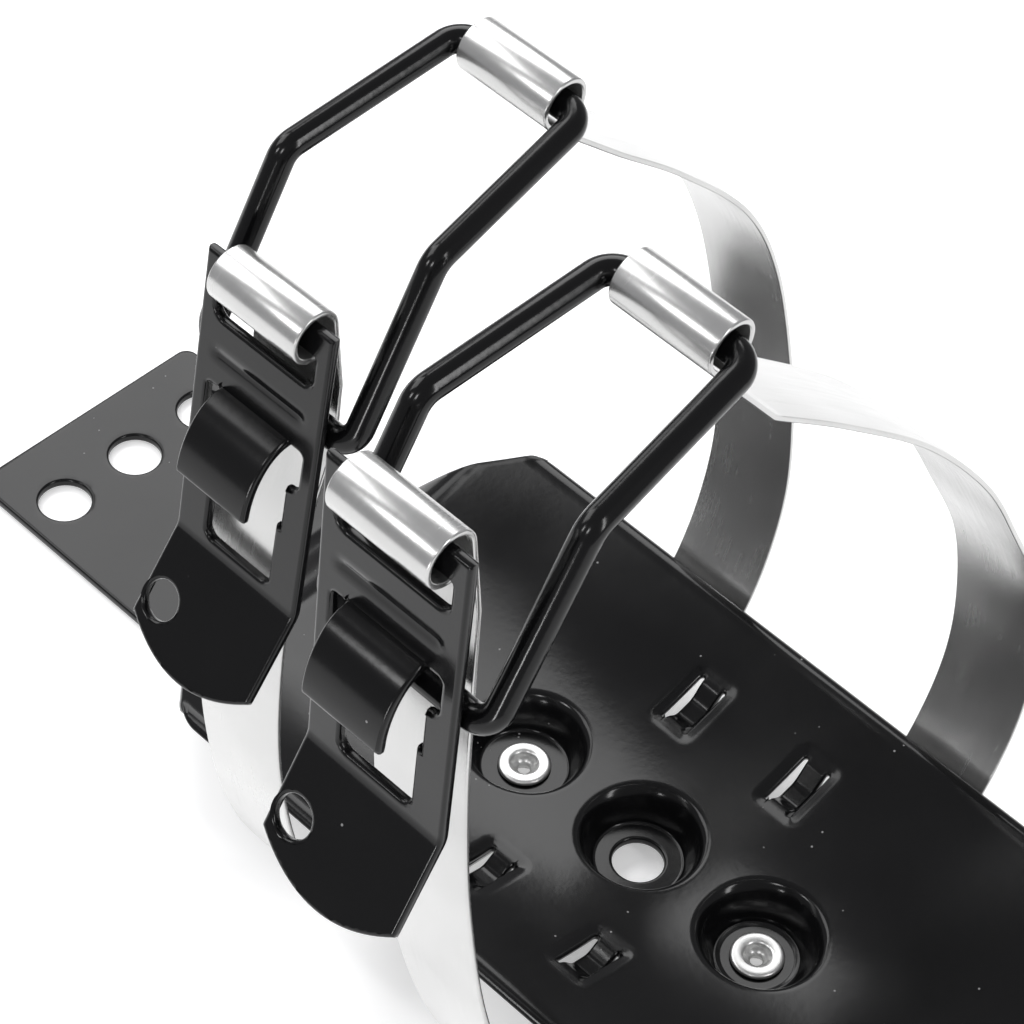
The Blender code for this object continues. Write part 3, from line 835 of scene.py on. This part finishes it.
def dimple_wall(r):
    """1 on the dimple's floor and 0 outside it, with a small fillet at the foot."""
    across = min(max((r - DIMPLE_FOOT_R) / (DIMPLE_SHOULDER_R - DIMPLE_FOOT_R), 0.0), 1.0)
    return 1 - smoothstep(across ** WALL_POWER)


def plate_height(x, y):
    """Top face of the plate above its mounting face."""
    edge = math.sqrt(CRADLE_RADIUS ** 2 - WING_HALF_WIDTH ** 2)
    arc = CRADLE_RADIUS - math.sqrt(CRADLE_RADIUS ** 2 - min(abs(y), WING_HALF_WIDTH) ** 2)
    arc = min(arc, CRADLE_RADIUS - edge)
    lip = max(0.0, abs(y) - (WING_HALF_WIDTH - LIP_WIDTH)) / LIP_WIDTH
    arc -= (LIP_DROP + arc * LIP_SHARE) * lip * lip
    full = 1 - smoothstep((abs(x) - CRADLE_HALF_LENGTH) / RAMP_LENGTH)
    z = PLATE_T + full * (CRADLE_RISE + arc)
    for cx, _ in DIMPLES:
        r = math.hypot(x - cx, y)
        if r < DIMPLE_SHOULDER_R:
            z += (DIMPLE_Z - z) * dimple_wall(r)
            if cx > 0:
                rise = RING_RISE * smoothstep((r - RING_IN_R) / RING_SLOPE)
                z += rise * smoothstep((RING_OUT_R - r) / RING_SLOPE)
    for cx, cy in LANCES:
        across = abs(x - cx)
        off = math.hypot(max(0.0, across - LANCE_WIDTH / 2), max(0.0, abs(y - cy) - LANCE_LENGTH / 2))
        z -= DRAWN_IN * smoothstep(1 - off / DRAWN_REACH)
        along = abs(y - cy) / (LANCE_LENGTH / 2)
        if along < 1 and across < BRIDGE_HALF + HAIR:
            z -= LANCE_DEPTH * smoothstep((1 - along) / LANCE_RAMP)
    return z


# %% Build the plate
def plate_outline():
    quarter = [(PLATE_HALF_LENGTH, TAB_HALF_WIDTH, 3.0), (FLARE_HALF_LENGTH, TAB_HALF_WIDTH, 9.0),
               (WING_HALF_LENGTH, WING_HALF_WIDTH, 9.0)]
    corners = list(quarter)
    corners += [(-x, y, r) for x, y, r in reversed(quarter)]
    corners += [(-x, -y, r) for x, y, r in quarter]
    corners += [(x, -y, r) for x, y, r in reversed(quarter)]
    return rounded(corners)


def dimple_rings(cx, hole):
    """Circles for the net to follow, closest together on the wall."""
    floor = steps_between(hole + 0.7, DIMPLE_FOOT_R, 0.5)
    wall = steps_between(DIMPLE_FOOT_R + 0.22, 11.0, 0.22)
    shoulder = steps_between(11.4, DIMPLE_SHOULDER_R, 0.45)
    around = [DIMPLE_SHOULDER_R + 0.7, DIMPLE_SHOULDER_R + 1.5]
    return [circle(cx, 0, radius, 80) for radius in floor + wall + shoulder + around]


def lance_slits(cx, cy):
    """The two slits that free a bridge along its long sides."""
    half = LANCE_LENGTH / 2
    slits = []
    for side in (-1, 1):
        near, far = sorted((cx + side * BRIDGE_HALF, cx + side * LANCE_WIDTH / 2))
        slit = rounded([(near, cy - half, 0.3), (far, cy - half, 0.3), (far, cy + half, 0.3),
                        (near, cy + half, 0.3)], 3)
        slits.append(spaced(slit, 0.5))
    return slits


def lance_rings(cx, cy):
    """Loops round a slot, where the sheet is drawn in, and inside its bridge."""
    rings = []
    for out in (0.9, 1.6, 2.4, 3.2):
        x0, x1 = cx - LANCE_WIDTH / 2 - out, cx + LANCE_WIDTH / 2 + out
        y0, y1 = cy - LANCE_LENGTH / 2 - out, cy + LANCE_LENGTH / 2 + out
        rings.append(rounded([(x0, y0, out), (x1, y0, out), (x1, y1, out), (x0, y1, out)], 5))
    for inset in steps_between(0.5, 2.0, 0.5):
        half_x = BRIDGE_HALF - inset
        half_y = LANCE_LENGTH / 2 - inset
        ring = [(cx - half_x, cy - half_y), (cx + half_x, cy - half_y), (cx + half_x, cy + half_y),
                (cx - half_x, cy + half_y)]
        rings.append(spaced(ring, 0.6))
    return rings


PLATE_NET = 1.6
PLATE_RIM_STEP = 1.3
PLATE_EDGE = 0.55


def build_backplate():
    cutouts = [circle(cx, 0, radius, 64) for cx, radius in DIMPLES]
    cutouts += [circle(sx * BOLT_X, row * BOLT_PITCH, BOLT_D / 2, 64)
                for sx in (-1, 1) for row in (-1, 0, 1)]
    rings = []
    for cx, hole in DIMPLES:
        rings += dimple_rings(cx, hole)
    for cx, cy in LANCES:
        cutouts += lance_slits(cx, cy)
        rings += lance_rings(cx, cy)
    columns = steps_between(-PLATE_HALF_LENGTH, PLATE_HALF_LENGTH, PLATE_NET)
    rows = steps_between(-WING_HALF_WIDTH, WING_HALF_WIDTH, PLATE_NET)
    plate = pressed_sheet("backplate_pressed", plate_outline(), cutouts, rings, columns, rows, PLATE_RIM_STEP,
                          lambda x, y: (PLATE_MIDDLE + Vector((x, y, plate_height(x, y)))) * MM)
    face_towards(plate, Vector((0, 0, 1)))
    give_wall(plate, PLATE_T, -1, PLATE_EDGE, BLACK_PAINT)
    finish_piece(plate, "root", "backplate", 60)


build_backplate()

# %% [markdown]
# ## Levers
#
# A lever is stamped from flat sheet too. Its top bar lies in the strap's near
# tube, a tongue is pushed out of a window to hook the wire, and the foot is bent
# out as a finger tab with a hole.


# %% The lever's shape
SLOT_HALF = STRAP_W / 2 + SLOT_SIDE_CLEARANCE
FURROW_FADE = 2.0


def tongue_length():
    """Quarter of an ellipse's rim, by Ramanujan's rule."""
    a, b = TONGUE_OUT, TONGUE_DROP
    return math.pi / 4 * (3 * (a + b) - math.sqrt((3 * a + b) * (a + 3 * b)))


def blade_point(x, s):
    """A point of the flat blank, pressed: (x, out from the blade, down the blade)."""
    if abs(x) < TONGUE_W / 2 + HAIR and TONGUE_ROOT < s < TONGUE_ROOT + tongue_length() + HAIR:
        angle = (s - TONGUE_ROOT) / tongue_length() * math.pi / 2
        return x, TONGUE_OUT * math.sin(angle), TONGUE_ROOT + TONGUE_DROP * (1 - math.cos(angle))
    if s > BEND_AT:
        bend = BEND_R * TAB_ANGLE
        turned = min(s - BEND_AT, bend) / BEND_R
        rest = max(0.0, s - BEND_AT - bend)
        return (x, BEND_R * (1 - math.cos(turned)) + rest * math.sin(TAB_ANGLE),
                BEND_AT + BEND_R * math.sin(turned) + rest * math.cos(TAB_ANGLE))
    across = smoothstep((SLOT_HALF - abs(x)) / FURROW_FADE)
    along = math.cos(min(abs(s - FURROW_AT) / (FURROW_W / 2), 1.0) * math.pi) / 2 + 0.5
    return x, -FURROW_DEPTH * across * along, s


# %% The lever's blank
TAB_STEPS = 12


def lever_blank():
    """The outline, and the cut-outs: the slot under the tube, the window and the finger hole."""
    half = LEVER_W / 2
    tongue = TONGUE_W / 2
    tongue_end = TONGUE_ROOT + tongue_length()
    outline = [(half, -BAR_TOP), (half, BEND_AT + TAB_SIDE)]
    for k in range(1, 2 * TAB_STEPS):
        across = 1 - k / TAB_STEPS
        outline.append((half * across, BEND_AT + TAB_SIDE + (TAB_MIDDLE - TAB_SIDE) * (1 - across * across)))
    outline += [(-half, BEND_AT + TAB_SIDE), (-half, -BAR_TOP)]
    window = tongue + WINDOW_GAP
    notch = window + NOTCH_SIDE
    notch_end = TONGUE_ROOT + NOTCH_LENGTH
    step_at = tongue_end + WINDOW_END_GAP
    window_end = BEND_AT - WINDOW_END_GAP
    slot = rounded([(-SLOT_HALF, SLOT_TOP, SLOT_TOP_R), (SLOT_HALF, SLOT_TOP, SLOT_TOP_R),
                    (SLOT_HALF, SLOT_BOTTOM, SLOT_BOTTOM_R), (-SLOT_HALF, SLOT_BOTTOM, SLOT_BOTTOM_R)], 8)
    opening = [(-tongue, TONGUE_ROOT), (-tongue, tongue_end), (tongue, tongue_end), (tongue, TONGUE_ROOT)]
    opening += rounded([(notch, TONGUE_ROOT, NOTCH_TOP_R), (notch, notch_end, NOTCH_BOTTOM_R),
                        (window, notch_end, 0), (window, step_at, 0),
                        (window - WINDOW_STEP, step_at, 0), (window - WINDOW_STEP, window_end, WINDOW_R),
                        (-window + WINDOW_STEP, window_end, WINDOW_R), (-window + WINDOW_STEP, step_at, 0),
                        (-window, step_at, 0), (-window, notch_end, 0),
                        (-notch, notch_end, NOTCH_BOTTOM_R), (-notch, TONGUE_ROOT, NOTCH_TOP_R)], 8)
    finger = circle(-FINGER_HOLE_X, BEND_AT + FINGER_HOLE_AT, FINGER_HOLE_D / 2, 48)
    return outline, [slot, opening, finger]


# %% Build the levers
LEVER_NET = 0.75
BEND_NET = 0.45
LEVER_RIM_STEP = 0.7
LEVER_EDGE = 0.65


def build_lever(number, latch):
    outline, cutouts = lever_blank()
    middle = PLATE_MIDDLE + Vector((latch["x"], *latch["tube_a"]))
    down = Vector((0, -math.sin(latch["blade"]), -math.cos(latch["blade"])))
    out = Vector((0, -math.cos(latch["blade"]), math.sin(latch["blade"])))

    def place(x, s):
        x, away, along = blade_point(x, s)
        return (middle + Vector((x, 0, 0)) + out * away + down * along) * MM

    bend_end = BEND_AT + BEND_R * TAB_ANGLE
    columns = steps_between(-LEVER_W / 2, LEVER_W / 2, LEVER_NET)
    rows = steps_between(-BAR_TOP, BEND_AT, LEVER_NET)
    rows += steps_between(BEND_AT + 0.3, bend_end + 0.3, BEND_NET)
    rows += steps_between(bend_end + 0.9, BEND_AT + TAB_MIDDLE, LEVER_NET)
    lever = pressed_sheet(f"lever_{number}_stamped", outline, cutouts, [], columns, rows,
                          LEVER_RIM_STEP, place)
    face_towards(lever, out)
    give_wall(lever, LEVER_T, 0, LEVER_EDGE, BLACK_PAINT)
    finish_piece(lever, f"lever_{number}", f"lever_{number}", 60)


for number, latch in enumerate(LATCHES, start=1):
    build_lever(number, latch)

# %% [markdown]
# ## Bails
#
# A bail is a closed ring of round wire with a knee in each arm. Its corners are
# worked out from the two tubes, and a tree rounds them and sweeps the wire.


# %% The wire's tree
def wire_tree():
    tree, start, end = new_tree("bent_wire", [("Wire Radius", "Float"), ("Bend Radius", "Float"),
                                              ("Material", "Material")])
    curve = add_node(tree, "GeometryNodeMeshToCurve")
    bend = add_node(tree, "GeometryNodeFilletCurve", {"Count": 12}, mode="POLY")
    section = add_node(tree, "GeometryNodeCurvePrimitiveCircle", {"Resolution": 32})
    sweep = add_node(tree, "GeometryNodeCurveToMesh")
    real = add_node(tree, "GeometryNodeRealizeInstances")
    finish = add_node(tree, "GeometryNodeSetMaterial")
    chain(tree, start, curve, bend)
    tree.links.new(start.outputs["Bend Radius"], bend.inputs["Radius"])
    tree.links.new(bend.outputs[0], sweep.inputs["Curve"])
    tree.links.new(start.outputs["Wire Radius"], section.inputs["Radius"])
    tree.links.new(section.outputs["Curve"], sweep.inputs["Profile Curve"])
    chain(tree, sweep, real, finish, end)
    tree.links.new(start.outputs["Material"], finish.inputs["Material"])
    return tree


# %% The wire's corners
def bar_place(latch):
    """Where the bail's lower bar lies, between the blade and the strap.

    The bar hangs just behind the blade, at its full reach from the far tube. The
    loop halves the stretch that holds that place until the two distances agree.
    """
    tube_a = Vector(latch["tube_a"])
    tube_c = Vector(latch["tube_c"])
    down = Vector((-math.sin(latch["blade"]), -math.cos(latch["blade"])))
    back = Vector((math.cos(latch["blade"]), -math.sin(latch["blade"])))
    start = tube_a + back * (LEVER_T / 2 + BAR_CLEARANCE + WIRE_D / 2)
    low, high = 0.0, BEND_AT
    for _ in range(40):
        middle = (low + high) / 2
        if (start + down * middle - tube_c).length < BAR_REACH:
            low = middle
        else:
            high = middle
    return start + down * low


def bail_corners(latch):
    """The ring's six corners: the bar's two, the two knees and the two in the far tube."""
    tube_c = Vector(latch["tube_c"])
    bar = bar_place(latch)
    along = (bar - tube_c).normalized()
    over = Vector((along.y, -along.x))
    if over.y < 0:
        over = -over
    knee = tube_c + along * math.sqrt(KNEE_REACH ** 2 - KNEE_HEIGHT ** 2) + over * KNEE_HEIGHT
    arm_half = LEVER_W / 2 + ARM_CLEARANCE + WIRE_D / 2
    x = latch["x"]
    return [(x - arm_half, *bar), (x - arm_half, *knee), (x - BAIL_TOP_HALF, *tube_c),
            (x + BAIL_TOP_HALF, *tube_c), (x + arm_half, *knee), (x + arm_half, *bar)]


# %% Build the bails
WIRE = wire_tree()
for number, latch in enumerate(LATCHES, start=1):
    name = f"bail_{number}_wire"
    bail = grow(name, path_mesh(name, bail_corners(latch), closed=True), WIRE,
                {"Wire Radius": WIRE_D / 2 * MM, "Bend Radius": WIRE_BEND_R * MM, "Material": WIRE_PAINT})
    finish_piece(bail, f"bail_{number}", f"bail_{number}", 80)
